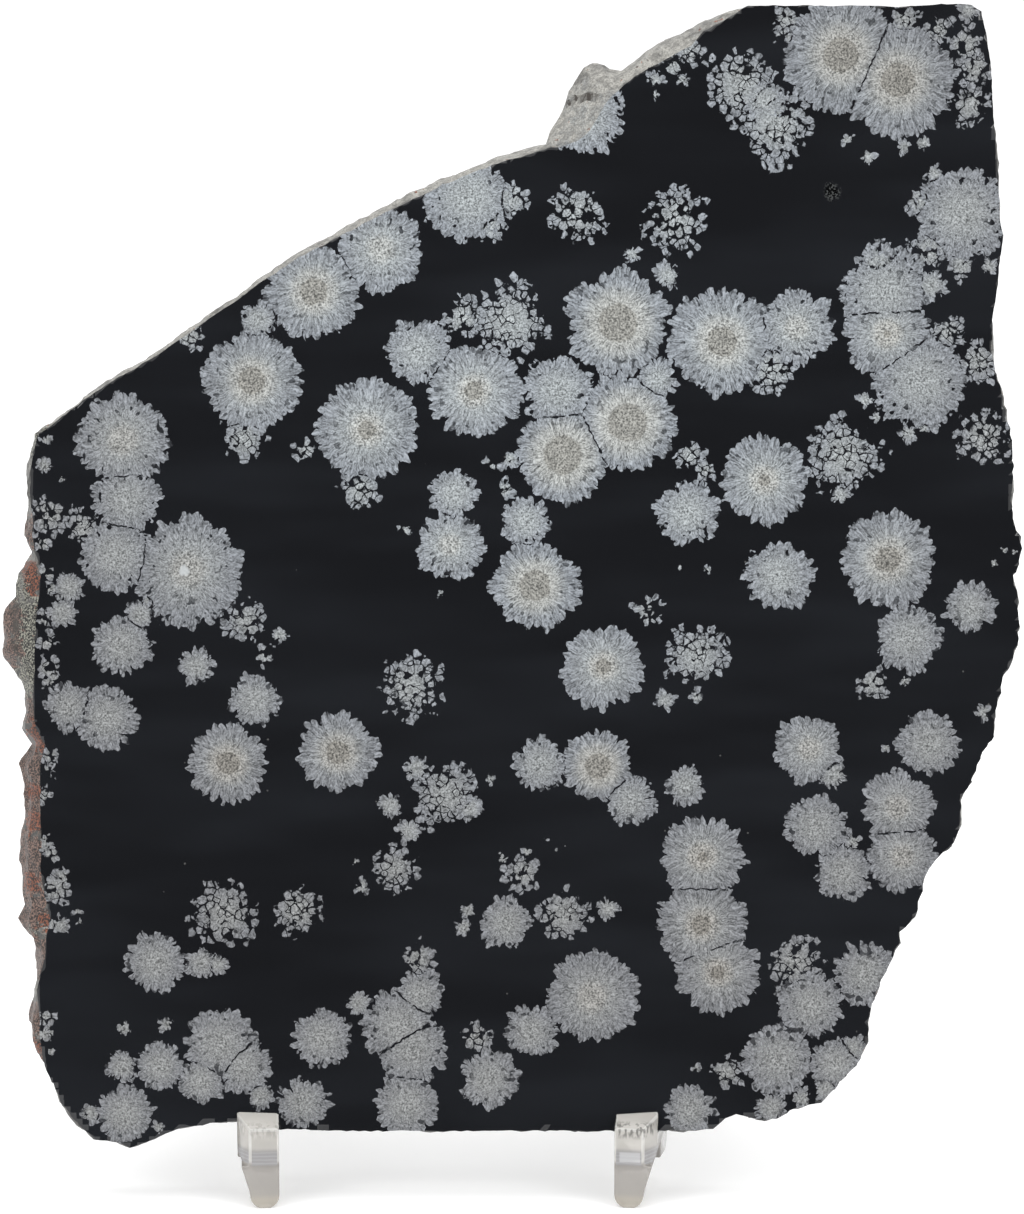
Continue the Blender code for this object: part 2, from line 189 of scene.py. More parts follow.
PLAIN = [
    (37.8, 76.0, 3.4), (68.4, 89.6, 1.8), (50.4, 70.1, 1.2), (53.4, 67.5, 1.4), (58.8, 69.0, 1.4),
    (61.7, 69.6, 1.4), (21.5, 79.1, 1.5), (21.5, 76.8, 0.9), (25.7, 79.1, 1.2), (10.8, 73.7, 6.3),
    (67.5, 59.0, 7.2), (63.2, 65.1, 1.5), (71.6, 51.2, 1.5), (56.0, 47.4, 6.8), (61.2, 33.9, 7.2),
    (62.9, 48.2, 2.6), (18.0, 53.1, 1.5), (23.4, 49.7, 2.3), (21.8, 34.1, 3.3),
    (-6.5, 61.4, 6.8), (-38.1, 43.1, 3.0), (-14.1, 38.3, 5.0), (6.9, 32.4, 5.3), (-8.7, 17.0, 4.0),
    (2.1, 12.9, 3.9), (-10.7, 2.0, 0.8), (26.3, 14.1, 5.1), (49.2, 16.8, 1.8), (39.9, 4.7, 5.4),
    (59.4, -4.7, 5.3), (68.7, -0.2, 4.1), (59.0, -11.0, 1.1), (59.3, 26.0, 1.5), (61.8, 26.6, 1.1),
    (53.0, 31.1, 1.5), (54.8, 28.5, 1.2), (75.4, 8.3, 0.9), (72.3, 6.5, 0.9), (73.8, 8.6, 0.6),
    (29.3, 5.4, 0.9), (25.2, 5.9, 0.8), (70.7, -15.8, 1.4),
    (-59.4, 7.7, 5.7), (-57.8, 16.1, 5.3), (-66.5, 2.9, 2.7), (-67.4, -0.9, 2.6), (-58.5, -5.7, 4.8),
    (-55.8, -1.2, 2.6), (-47.4, -8.9, 3.0), (-34.8, -4.2, 1.5), (-70.1, 21.2, 1.4), (-69.8, 25.2, 1.1),
    (-67.4, 19.4, 0.8), (-60.9, -16.7, 5.0), (-66.5, -15.0, 3.9), (-38.6, -14.0, 4.2),
    (-70.1, -35.7, 1.5), (-67.8, -47.7, 1.8), (-65.1, -45.5, 0.9), (-64.8, -47.3, 0.7), (-70.2, -64.1, 1.5),
    (23.0, -14.0, 1.8), (27.8, -13.5, 1.2), (4.2, -23.6, 4.2), (17.7, -29.1, 4.1), (26.0, -26.7, 3.3),
    (-14.4, -24.2, 2.1), (-6.3, -30.3, 2.1), (-3.3, -25.8, 1.1), (-18.3, -29.7, 2.1), (-15.5, -33.6, 2.1),
    (-22.5, -42.0, 1.4), (-23.4, -38.4, 0.8), (-53.6, -53.3, 4.7), (-46.7, -53.3, 2.7), (-44.1, -53.6, 1.8),
    (-43.8, -65.6, 5.7), (-40.2, -68.9, 4.5), (-46.7, -71.1, 3.8), (-52.8, -68.9, 3.9), (-58.4, -68.9, 2.7),
    (-51.9, -62.7, 1.4), (-58.1, -63.3, 1.4), (-58.1, -76.1, 4.5), (-63.3, -75.9, 1.8), (-53.1, -78.0, 1.2),
    (-31.4, -74.4, 4.2), (-37.8, -73.4, 2.3), (-28.5, -64.7, 4.7), (-23.0, -59.4, 2.1), (-17.0, -62.9, 5.7),
    (-15.0, -66.3, 5.6), (-15.8, -74.6, 5.1), (-13.8, -58.2, 3.9), (2.9, -63.8, 4.2), (-3.5, -70.8, 4.8),
    (-0.9, -47.4, 4.2), (-6.6, -45.5, 1.4), (-7.2, -48.0, 1.4), (14.3, -45.2, 2.0), (-1.5, -37.7, 1.2),
    (2.3, -36.6, 1.1), (5.0, -35.1, 0.5), (8.1, -35.7, 0.5), (6.6, -36.6, 0.5),
    (48.2, -25.2, 2.7), (45.6, -33.0, 5.0), (49.7, -39.9, 4.5), (51.2, -35.3, 1.5), (62.6, -20.6, 5.1),
    (56.1, -21.0, 0.8), (44.9, -59.7, 5.3), (53.0, -55.1, 5.0), (39.9, -67.8, 5.6), (48.5, -68.6, 4.2),
    (51.2, -66.2, 2.3), (47.1, -72.3, 2.3), (27.6, -69.3, 0.8), (26.7, -75.5, 4.1), (38.9, -75.2, 2.7),
    (43.4, -73.7, 1.8),
]
RAGGED = [
    (34.2, 78.3, 5.3), (39.5, 72.3, 5.7), (68.0, 84.3, 2.7), (69.5, 80.6, 2.7), (68.7, 75.3, 3.0),
    (58.8, 88.1, 2.3), (63.9, 86.6, 2.3), (41.0, 88.1, 2.3), (40.7, 85.4, 1.8), (26.7, 83.3, 2.4),
    (24.0, 81.3, 2.3), (61.2, 60.8, 2.3), (67.5, 51.2, 2.3), (55.1, 51.2, 3.8), (62.6, 53.4, 3.0),
    (65.3, 41.3, 2.6), (69.9, 36.9, 3.3), (39.0, 35.7, 3.8), (-0.3, 61.1, 3.0), (-3.3, 57.3, 2.7),
    (-40.1, 25.1, 3.3), (-48.2, 40.7, 2.6), (-31.1, 23.6, 2.0), (-22.8, 17.6, 3.3), (-0.3, 42.8, 6.0),
    (-3.3, 21.3, 1.5), (-0.3, 22.1, 1.5), (-1.1, 17.6, 1.5), (-16.1, 11.6, 1.5), (26.7, 22.8, 2.3),
    (29.0, 20.6, 1.8), (49.7, 22.7, 5.7), (-69.5, 13.8, 3.3), (-64.5, 12.0, 2.7), (-54.3, 1.1, 1.5),
    (-39.8, -2.1, 3.3), (-68.4, -42.3, 2.7), (27.8, -7.2, 4.8), (-9.9, -28.1, 5.0), (-17.7, -39.2, 3.3),
    (-43.1, -46.1, 5.0), (-32.1, -45.5, 3.9), (-14.1, -52.8, 2.7), (7.7, -46.2, 4.2), (1.7, -39.9, 2.7),
    (42.3, -53.4, 4.2), (32.0, -69.9, 2.6),
    (-70.5, 9.5, 1.4), (-69.8, 5.0, 1.5), (-69.2, 2.8, 1.2), (-70.3, -2.0, 1.6), (-69.8, -5.4, 1.8),
    (-69.6, -9.2, 1.9), (-69.0, -11.0, 1.6), (-69.2, -22.2, 1.3), (-69.9, -24.8, 1.4), (-70.2, -28.2, 1.5),
    (-69.9, -34.5, 1.3), (-69.2, -37.0, 1.7), (-67.6, -40.5, 1.5), (-69.0, -47.6, 1.4), (-69.9, -61.5, 1.5),
    (-69.2, -63.6, 1.4), (-69.3, -66.6, 1.0),
]
SPARSE = [
    (9.9, 59.0, 4.9), (24.5, 57.9, 5.0), (-7.4, 43.4, 3.3), (54.2, -11.4, 2.7), (70.8, 25.4, 4.5),
    (-37.1, -7.2, 1.8), (-15.2, -11.9, 4.8), (20.4, -0.8, 2.7), (-5.3, -64.5, 2.7),
]

# Each kind: its places, its raggedness in the lower and in the upper half of the face, the depth of
# its centre as a share of the radius, and how cream its middle is
KINDS = [
    (CORED, 0.0, 0.08, 0.0, 1.0), (CREAM, 0.03, 0.12, 0.12, 0.7), (PLAIN, 0.1, 0.16, 0.25, 0.0),
    (RAGGED, 0.5, 0.56, 0.25, 0.0), (SPARSE, 1.0, 1.06, 0.25, 0.0),
]

# Painted shade in the grooves, as spots in a row: under the knob at the top, and beside the lump on the
# rind
SHADED_GROOVES = [
    (8.6, 76.2, 0.5), (9.6, 76.6, 0.5), (10.7, 76.7, 0.5), (11.8, 76.8, 0.5), (12.9, 76.9, 0.45),
    (-74.7, 0.3, 0.5), (-74.9, -1.0, 0.5), (-74.9, -2.3, 0.5), (-74.9, -3.6, 0.5), (-74.8, -4.9, 0.5),
    (-74.6, -6.2, 0.5), (-74.4, -7.4, 0.5),
]

# Places of the broken sides that stand out or are drawn in: (x, v, reach, push)
NUDGES = [
    (12.8, 80.6, 2.6, 0.5), (8.6, 77.2, 1.0, 0.7), (10.5, 76.5, 0.8, -0.9), (13.0, 76.6, 0.8, -0.8),
    (15.6, 79.8, 1.2, -0.6), (28.5, 87.6, 4.0, -0.5), (33.0, 90.0, 1.6, 0.4), (-66.0, 32.0, 4.0, -0.5),
    (-48.0, 42.5, 4.0, -0.4), (-72.8, 18.0, 4.5, 0.35), (-73.8, 4.5, 1.5, 0.4), (-74.8, 1.2, 1.2, -0.6),
    (-75.7, -0.4, 1.2, 0.6), (-75.8, -6.6, 1.6, 0.9), (-73.2, -18.0, 1.5, 0.6),
    (-73.6, -36.5, 5.0, 0.35), (-74.0, -45.6, 1.0, -0.6),
    (-72.8, -48.6, 1.6, 0.8), (-71.6, -64.5, 3.0, 0.3), (-67.0, -74.0, 4.0, 0.3),
]

# The weathered rind down the left side, as spots of each colour: (x, v, reach)
RUST = [
    (-72.6, 5.6, 1.4), (-71.6, 3.6, 1.6), (-70.9, -18.6, 1.8), (-70.3, -20.8, 1.4), (-72.1, -27.6, 1.2),
    (-71.9, -32.2, 1.5), (-72.4, -41.6, 1.5), (-69.9, -47.0, 1.3), (-71.4, -66.4, 1.2), (-70.6, 12.3, 0.9),
]
BROWN = [
    (-76.3, -1.8, 2.6), (-76.3, -6.5, 2.8), (-72.4, 11.4, 2.2), (-71.6, -15.5, 2.5), (-72.5, -23.5, 3.0),
    (-72.5, -29.0, 3.5), (-73.3, -37.5, 4.0), (-72.8, -45.5, 3.5), (-71.2, -52.5, 3.0), (-71.6, -62.0, 2.5),
    (-71.6, -66.5, 2.5),
]
GREY_CRUST = [
    (-73.6, 3.5, 2.6), (-73.4, -1.5, 3.0), (-73.2, -6.5, 3.0), (-72.6, -11.5, 3.0), (-74.0, -25.5, 2.2),
    (-72.8, -47.5, 2.2), (-71.0, 24.5, 2.5),
]


def lean_back(x, v, w):
    """A point of the slab, in the frame's metres."""
    up = v - SLAB_BOTTOM
    y = w * math.cos(LEAN) + up * math.sin(LEAN) - DEPTH_CENTRE
    z = -w * math.sin(LEAN) + up * math.cos(LEAN) + LEDGE_HEIGHT
    return Vector((x - SIDE_CENTRE, y, z)) * MM


def slab_matrix():
    """Takes slab millimetres (x, w, v) to the frame's metres."""
    origin = lean_back(0.0, 0.0, 0.0)
    right = lean_back(1.0, 0.0, 0.0) - origin
    inward = lean_back(0.0, 0.0, 1.0) - origin
    up = lean_back(0.0, 1.0, 0.0) - origin
    turn = Matrix((right, inward, up)).transposed().to_4x4()
    return Matrix.Translation(origin) @ turn


def only(piece):
    """Select one piece and make it the active one."""
    bpy.ops.object.select_all(action="DESELECT")
    piece.hide_set(False)
    piece.select_set(True)
    bpy.context.view_layer.objects.active = piece


def dissolve_flat_faces(shortest=None):
    """Join the active piece's flat faces, and close edges shorter than this."""
    bpy.ops.object.mode_set(mode="EDIT")
    bpy.ops.mesh.select_all(action="SELECT")
    bpy.ops.mesh.dissolve_limited(angle_limit=FLAT)
    if shortest:
        bpy.ops.mesh.remove_doubles(threshold=shortest)
    bpy.ops.object.mode_set(mode="OBJECT")


def copy_of_node(node, name):
    """A loose copy of a CAD node, its doubles merged, ready to be shaped."""
    source = frame["nodes"][node]
    piece = source.copy()
    piece.data = source.data.copy()
    piece.name = name
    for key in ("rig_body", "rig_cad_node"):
        del piece[key]
    piece.parent = None
    bpy.context.scene.collection.objects.link(piece)
    only(piece)
    bpy.ops.object.mode_set(mode="EDIT")
    bpy.ops.mesh.select_all(action="SELECT")
    bpy.ops.mesh.remove_doubles(threshold=MERGE)
    bpy.ops.object.mode_set(mode="OBJECT")
    return piece


def snowflakes():
    """Every snowflake as (centre x, w, v, sphere radius, core, raggedness, cream)."""
    found = []
    for places, lower, upper, depth, cream in KINDS:
        for x, v, radius, *core in places:
            ragged = upper if v > 0.0 else lower
            found.append((x, depth * radius, v, radius, core[0] if core else 0.0, ragged, cream))
    rng = random.Random(11)
    for tries in range(HIDDEN_TRIES):
        x = rng.uniform(*HIDDEN_X)
        v = rng.uniform(*HIDDEN_V)
        radius = rng.choice(HIDDEN_RADII)
        w = rng.uniform(SLAB_THICKNESS - 0.3 * radius, SLAB_THICKNESS + 0.2 * radius)
        w = max(w, radius + 0.6)

        # Clear of the last ones found, and near enough to the sawn back to be cut by it
        clear = all(math.dist((x, w, v), other[:3]) > 0.85 * (radius + other[3])
                    for other in found[-tries - 1:])
        if clear and w - SLAB_THICKNESS < 0.8 * radius:
            core = rng.choice((0.0, 0.0, 0.25, 0.3)) * radius if radius > 4 else 0.0
            ragged = rng.choice((0.0, 0.15, 0.5))
            found.append((x, w, v, radius, core, ragged, 1.0 if core else 0.0))
    return np.array(found, float)


def cut_into_cells(piece):
    """Cut the skin into small cells along x, w and v."""
    corners = np.array([vertex.co for vertex in piece.data.vertices])
    bpy.ops.object.mode_set(mode="EDIT")
    for axis in range(3):
        low, high = corners[:, axis].min(), corners[:, axis].max()
        normal = [0.0, 0.0, 0.0]
        normal[axis] = 1.0
        for step in range(1, int((high - low) / CELL) + 1):
            place = [0.0, 0.0, 0.0]
            place[axis] = low + step * CELL
            bpy.ops.mesh.select_all(action="SELECT")
            bpy.ops.mesh.bisect(plane_co=place, plane_no=normal)
    bpy.ops.object.mode_set(mode="OBJECT")


def roughen_sides(piece, at_edge):
    """Give the broken sides lumps and pits; the polished face and the sawn back stay flat, and
    nothing stands wider than the CAD stone."""
    across = [vertex.co.x for vertex in piece.data.vertices]
    left, right = min(across), max(across)
    for vertex in piece.data.vertices:
        x, w, v = vertex.co
        at = Vector((x, w, v))
        coarse = noise.noise(at / LUMP_SPACING)
        fine = noise.noise(at / CHIP_SPACING + Vector((7.0, 1.0, 3.0)))
        outward = Vector((x, 0.0, v)).normalized()
        nudge = sum(push * math.exp(-((x - spot_x) ** 2 + (v - spot_v) ** 2) / reach ** 2)
                    for spot_x, spot_v, reach, push in NUDGES)
        if w < ON_FACE:
            if at_edge[vertex.index]:
                chip = RIGHT_EDGE_CHIP if x > 40.0 and v < 45.0 else EDGE_CHIP
                vertex.co += outward * (EDGE_LUMP * coarse + chip * fine)
        elif w < SLAB_THICKNESS - ON_BACK:
            lump = LUMP if x > RIND_SIDE else RIND_LUMP
            vertex.co += outward * (lump * coarse + CHIP * fine + SWELL + nudge)
        vertex.co.x = min(max(vertex.co.x, left), right)


def store(mesh, name, kind, values):
    """Keep a value of each face on the mesh, for the materials to read."""
    attribute = mesh.attributes.new(name, kind, "FACE")
    field = "vector" if kind == "FLOAT_VECTOR" else "value"
    attribute.data.foreach_set(field, np.asarray(values, np.float32).ravel())


def nearness(centres, spots, most, fall):
    """How near each face is to the nearest of some spots, from 0 to 1."""
    near = np.zeros(len(centres))
    for x, v, reach in spots:
        away = np.hypot(centres[:, 0] - x, centres[:, 2] - v) / reach
        near = np.maximum(near, np.clip(most - fall * away, 0.0, 1.0))
    return near


def mark_faces(piece, flakes, matrix):
    """Store on each face the two snowflakes that reach it best, which side it is on, and how near
    it is to each colour of the rind."""
    mesh = piece.data
    count = len(mesh.polygons)
    centres = np.zeros(count * 3)
    mesh.polygons.foreach_get("center", centres)
    centres = centres.reshape(-1, 3)
    best = np.zeros((count, 2), int)
    for start in range(0, count, BATCH):
        part = centres[start:start + BATCH]
        away = np.linalg.norm(part[:, None, :] - flakes[None, :, :3], axis=2) - flakes[None, :, 3]
        best[start:start + BATCH] = np.argsort(away, axis=1)[:, :2]
    turn = np.array(matrix)
    world = flakes[:, :3] @ turn[:3, :3].T + turn[:3, 3]
    look = np.column_stack((flakes[:, 3] * MM, flakes[:, 4] * MM, flakes[:, 5]))
    for slot, letter in enumerate("ab"):
        chosen = best[:, slot]
        store(mesh, "centre_" + letter, "FLOAT_VECTOR", world[chosen])
        store(mesh, "look_" + letter, "FLOAT_VECTOR", look[chosen])
        store(mesh, "cream_" + letter, "FLOAT", flakes[chosen, 6])
    broken = np.abs(centres[:, 1] - 0.5 * SLAB_THICKNESS) < 0.5 * SLAB_THICKNESS - ON_FACE
    mesh.polygons.foreach_set("material_index", broken.astype(np.int32))
    rind = np.column_stack([nearness(centres, spots, 1.4, 0.9) for spots in (RUST, BROWN, GREY_CRUST)])
    store(mesh, "rind", "FLOAT_VECTOR", rind)
    # How near each face is to the grooves, for their painted shade
    store(mesh, "dark_joint_and_crease_shade", "FLOAT", nearness(centres, SHADED_GROOVES, 1.5, 1.0))


class Nodes:
    """Short calls for building one node tree."""

    def __init__(self, tree):
        self.tree = tree

    def feed(self, node, inputs):
        """Link or set some inputs of a node, by name or by number."""
        for name, value in inputs.items():
            if isinstance(value, bpy.types.NodeSocket):
                self.tree.links.new(value, node.inputs[name])
            else:
                node.inputs[name].default_value = value

    def add(self, kind, inputs=None, **settings):
        """A new node with these settings and inputs."""
        node = self.tree.nodes.new(kind)
        for name, value in settings.items():
            setattr(node, name, value)
        self.feed(node, inputs or {})
        return node

    def maths(self, operation, *values):
        return self.add("ShaderNodeMath", dict(enumerate(values)), operation=operation).outputs[0]

    def vector(self, operation, *values, out="Vector", scale=None):
        inputs = dict(enumerate(values))
        if scale is not None:
            inputs["Scale"] = scale
        return self.add("ShaderNodeVectorMath", inputs, operation=operation).outputs[out]

    def ramp(self, value, from_low, from_high, low=0.0, high=1.0, smooth=True):
        """A value taken from one range to another, and held at its ends."""
        kind = "SMOOTHSTEP" if smooth else "LINEAR"
        inputs = {0: value, 1: from_low, 2: from_high, 3: low, 4: high}
        return self.add("ShaderNodeMapRange", inputs, interpolation_type=kind).outputs[0]

    def mix(self, share, first, second):
        """A colour between two others."""
        inputs = {0: share, 6: first, 7: second}
        return self.add("ShaderNodeMix", inputs, data_type="RGBA").outputs[2]

    def times(self, *values):
        """The product of two or more values."""
        product = values[0]
        for value in values[1:]:
            product = self.maths("MULTIPLY", product, value)
        return product

    def plus(self, first, second):
        return self.maths("ADD", first, second)

    def minus(self, first, second):
        return self.maths("SUBTRACT", first, second)

    def over(self, first, second):
        return self.maths("DIVIDE", first, second)

    def parts(self, vector):
        """The three values of a vector or of a colour."""
        return self.add("ShaderNodeSeparateXYZ", {0: vector}).outputs

    def blend(self, share, first, second):
        """A value between two others."""
        return self.add("ShaderNodeMix", {0: share, 2: first, 3: second}).outputs[0]

    def blend_vector(self, share, first, second):
        inputs = {0: share, 4: first, 5: second}
        return self.add("ShaderNodeMix", inputs, data_type="VECTOR").outputs[1]

    def noise(self, place, scale, detail=2.0, rough=0.5):
        inputs = {"Vector": place, "Scale": scale, "Detail": detail, "Roughness": rough}
        return self.add("ShaderNodeTexNoise", inputs).outputs["Fac"]


def colour(red, green, blue):
    """An sRGB colour of 0 to 255 as the linear one that a shader takes."""
    parts = [channel / 255 for channel in (red, green, blue)]
    return (*(p / 12.92 if p < 0.04045 else ((p + 0.055) / 1.055) ** 2.4 for p in parts), 1.0)


def matte(red, green, blue):
    """The colour of a matte surface that shows as this sRGB colour in the studio's light."""
    return (*(channel / STUDIO_LIGHT for channel in colour(red, green, blue)[:3]), 1.0)


def new_finish(name):
    """A new material, the calls that build its node tree, and its shader."""
    finish = bpy.data.materials.new(name)
    finish.use_nodes = True
    return finish, Nodes(finish.node_tree), finish.node_tree.nodes["Principled BSDF"]


def firm_rim(n, flake):
    """Round lobes: how much they cover, and the half width of the notches between them."""
    reach = n.times(flake.broad, n.ramp(flake.ragged, 0.0, 0.2, 0.25, 0.4, False))
    reach = n.plus(1.05, n.plus(reach, n.times(flake.uneven, 0.3)))
    own_length = n.times(n.minus(flake.chance[0], 0.5), 0.6 * LOBE)
    inside = n.minus(n.plus(n.times(flake.radius, reach), own_length), flake.away)
    dome = n.times(n.maths("POWER", flake.from_grain, 2.0), 1.4 * LOBE)
    cover = n.ramp(n.minus(inside, dome), -EDGE_BLUR, EDGE_BLUR)
    length = n.ramp(flake.uneven, -0.15, 0.15, *NOTCH_LENGTH, False)
    notch = n.ramp(n.over(inside, length), 0.0, 1.0, NOTCH_WIDTH, -1.5 * EDGE_BLUR, False)
    return cover, notch


def loose_rim(n, flake):
    """Round grains: how much they cover, and the half width of the cracks between them."""
    swing = n.plus(n.times(flake.broad, 0.7), n.times(n.minus(flake.chance[0], 0.5), 0.35))
    within = n.minus(n.times(flake.radius, n.plus(1.0, swing)), flake.grain_away)
    fullest = n.ramp(flake.ragged, 0.5, 1.0, 1.0, 0.68, False)
    ball = n.ramp(n.over(within, 3.0 * MM), 0.0, 1.0, 0.56, fullest, False)
    ball = n.times(ball, n.ramp(flake.chance[1], 0.0, 1.0, 0.8, 1.15, False))
    ball = n.plus(ball, n.times(flake.uneven, 1.3))
    cover = n.ramp(n.minus(ball, flake.from_grain), -0.05, 0.05)
    cover = n.times(cover, n.maths("GREATER_THAN", within, 0.0))
    crack = n.ramp(n.plus(flake.chance[2], flake.uneven), 0.3, 0.7, -0.1 * MM, CRACK_WIDTH)
    return cover, crack


def snowflake_cover(n, flake, pit):
    """How much the snowflake covers a point: firm or loose, with gaps and pits near its rim."""
    firm, notch = firm_rim(n, flake)
    scattered, crack = loose_rim(n, flake)
    gap = n.minus(flake.from_border, n.blend(flake.loose, notch, crack))
    cover = n.times(n.blend(flake.loose, firm, scattered), n.ramp(gap, -EDGE_BLUR, EDGE_BLUR))
    pits = n.times(pit, n.ramp(flake.share, 0.35, 0.75), n.ramp(flake.ragged, 0.0, 0.15, 0.2, 1.0))
    return n.times(cover, n.minus(1.0, pits))


def snowflake_tint(n, flake, cream, fleck):
    """Bluish grey, paler round the middle, with a grey core and fibres along the radius."""
    tint = n.mix(n.ramp(flake.share, 0.25, 0.95), matte(165, 171, 173), matte(147, 153, 160))
    halo = n.over(flake.away, n.maths("MAXIMUM", n.times(flake.core, 1.9), n.times(flake.radius, 0.4)))
    tint = n.mix(n.times(n.ramp(halo, 0.5, 1.15, 1.0, 0.0), cream), tint, matte(177, 179, 176))
    in_core = n.over(flake.away, n.maths("MAXIMUM", flake.core, 0.01 * MM))
    in_core = n.times(n.ramp(in_core, 0.88, 1.06, 1.0, 0.0), n.ramp(flake.core, 0.1 * MM, 0.3 * MM))
    tint = n.mix(in_core, tint, matte(150, 150, 145))

    # Fibres: noise that changes fast across the radius and slowly along it
    fibres = n.vector("SCALE", flake.way, scale=n.times(flake.radius, 1.0 / FIBRE))
    along = n.vector("SCALE", (0.0, ALONG_FIBRE / FIBRE, 0.0), scale=flake.away)
    fibres = n.noise(n.vector("ADD", fibres, along), 1.0, 1.0)
    mottle = n.blend(n.ramp(flake.share, 0.2, 0.6, 0.9, 0.35), fibres, fleck)
    light = n.ramp(mottle, 0.33, 0.67, 0.3, 1.7, False)
    light = n.times(light, n.ramp(flake.chance[2], 0.0, 1.0, 0.94, 1.06, False))
    # Darker joints between the grains: the stone's own colour
    dark_joint_and_crease_shade = n.times(n.ramp(flake.from_border, 0.0, 0.12 * MM, 0.22, 0.0), n.ramp(flake.share, 0.35, 0.9))
    return n.vector("SCALE", tint, scale=n.times(light, n.minus(1.0, dark_joint_and_crease_shade)))


def snowflake_group():
    """Node group: how much one snowflake covers a point, its colour, and how far out the point is.
    flake holds the values that the rims and the tint share."""
    tree = bpy.data.node_groups.new("snowflake", "ShaderNodeTree")
    for name, kind in (("Place", "Vector"), ("Centre", "Vector"), ("Look", "Vector"), ("Cream", "Float"),
                       ("Fleck", "Float"), ("Pit", "Float")):
        tree.interface.new_socket(name, in_out="INPUT", socket_type="NodeSocket" + kind)
    for name, kind in (("Cover", "Float"), ("Colour", "Color"), ("Out", "Float")):
        tree.interface.new_socket(name, in_out="OUTPUT", socket_type="NodeSocket" + kind)
    n = Nodes(tree)
    given = tree.nodes.new("NodeGroupInput").outputs
    flake = SimpleNamespace()
    flake.radius, flake.core, flake.ragged = n.parts(given["Look"])
    spoke = n.vector("SUBTRACT", given["Place"], given["Centre"])
    flake.away = n.vector("LENGTH", spoke, out="Value")
    flake.way = n.vector("NORMALIZE", spoke)
    flake.share = n.over(flake.away, flake.radius)
    flake.loose = n.maths("GREATER_THAN", flake.ragged, FIRM)

    # Cells round a firm snowflake's rim make its lobes; cells all through a loose one, its grains.
    # Its centre, scaled up, gives each snowflake its own stretch of the cells and of the noise.
    own = n.vector("SCALE", given["Centre"], scale=7.3)
    seed = n.vector("SCALE", given["Centre"], scale=913.0)
    size = n.blend(flake.loose, LOBE, LOOSE_GRAIN)
    span = n.blend(flake.loose, flake.radius, flake.away)
    lattice = n.vector("ADD", n.vector("SCALE", flake.way, scale=span), own)
    cells = {"Vector": lattice, "Scale": n.over(1.0, size), "Randomness": 0.9}
    grains = n.add("ShaderNodeTexVoronoi", cells, feature="F1").outputs
    borders = n.add("ShaderNodeTexVoronoi", cells, feature="DISTANCE_TO_EDGE").outputs
    flake.from_grain = grains["Distance"]
    flake.from_border = n.times(borders["Distance"], size)
    flake.chance = n.parts(grains["Color"])
    grain = n.vector("SUBTRACT", grains["Position"], own)
    flake.grain_away = n.vector("LENGTH", grain, out="Value")

    # Slow and quick changes of the rim's reach
    turned = n.blend_vector(flake.loose, flake.way, n.vector("NORMALIZE", grain))
    flake.broad = n.minus(n.noise(n.vector("ADD", turned, seed), 1.5, 1.0), 0.5)
    by_way = n.vector("SCALE", n.vector("ADD", flake.way, seed), scale=5.5)
    by_place = n.vector("SCALE", lattice, scale=1.0 / GRAIN)
    flake.uneven = n.minus(n.noise(n.blend_vector(flake.loose, by_way, by_place), 1.0, 1.0), 0.5)

    cover = snowflake_cover(n, flake, given["Pit"])
    tint = snowflake_tint(n, flake, given["Cream"], given["Fleck"])
    out = n.minus(flake.away, flake.radius)
    n.add("NodeGroupOutput", {"Cover": cover, "Colour": tint, "Out": out})
    return tree


def black_glass(n, place, bent, fleck):
    """Black glass with faint smoke, a few pale motes and one small gritty pit, its hollow darkened with
    painted shade.
    """
    smoke = n.noise(n.vector("MULTIPLY", place, (20.0, 60.0, 90.0)), 1.0, 2.0, 0.6)
    glass = n.mix(n.ramp(smoke, 0.3, 0.75), matte(26, 27, 30), matte(35, 37, 41))
    motes = n.add("ShaderNodeTexVoronoi", {"Vector": place, "Scale": 1.0 / MOTE_SPACING}, feature="F1")
    rare = n.maths("GREATER_THAN", n.parts(motes.outputs["Color"])[0], 0.75)
    mote = n.times(n.ramp(motes.outputs["Distance"], 0.02, 0.05, 0.6, 0.0), rare)
    # Painted shade: the pit's hollow almost black, inside a pale gritty rim
    from_pit = n.vector("DISTANCE", bent, tuple(lean_back(*OPEN_PIT, 0.0)), out="Value")
    grit = n.times(n.ramp(from_pit, 0.8 * MM, 1.6 * MM, 0.9, 0.0), n.ramp(fleck, 0.5, 0.6))
    glass = n.mix(n.ramp(from_pit, 0.6 * MM, 1.3 * MM, 1.0, 0.0), glass, matte(8, 8, 9))
    return n.mix(mote, n.mix(grit, glass, matte(84, 86, 86)), matte(120, 120, 118))


